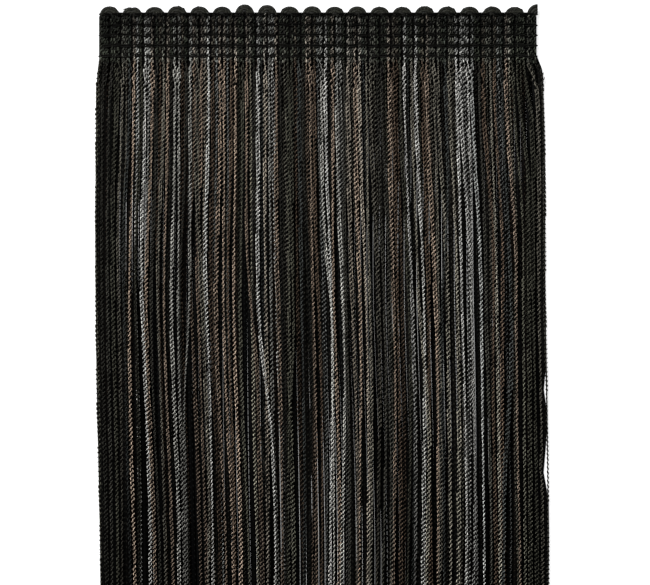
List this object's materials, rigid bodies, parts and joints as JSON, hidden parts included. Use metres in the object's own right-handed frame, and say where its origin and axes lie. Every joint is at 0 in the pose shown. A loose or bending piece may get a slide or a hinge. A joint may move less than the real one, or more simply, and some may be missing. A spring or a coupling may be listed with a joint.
{
  "type": "chainette fringe",
  "caption": "Cut length of trimming: a narrow crocheted heading with a looped top edge, from which a dense skirt of knitted chain yarns hangs straight down to a plain cut end.",
  "frame": {"origin": "middle of the piece's footprint, on the surface that its back lies on", "axes": "+X along the heading, +Y from the cut ends to the looped edge, +Z out of the face"},
  "size_m": [0.1132, 0.1524, 0.0026],
  "materials": {
    "heading_yarn": "matt black crocheted chain yarn with grey and brown stitches",
    "dark_yarn": "matt black, charcoal and brown chain yarn with a soft sheen",
    "mixed_yarn": "grey, brown and black chain yarn with a soft sheen"
  },
  "bodies": {
    "root": {"header": "heading_yarn", "fringe_back": "dark_yarn", "fringe_front": "mixed_yarn"}
  },
  "joints": []
}
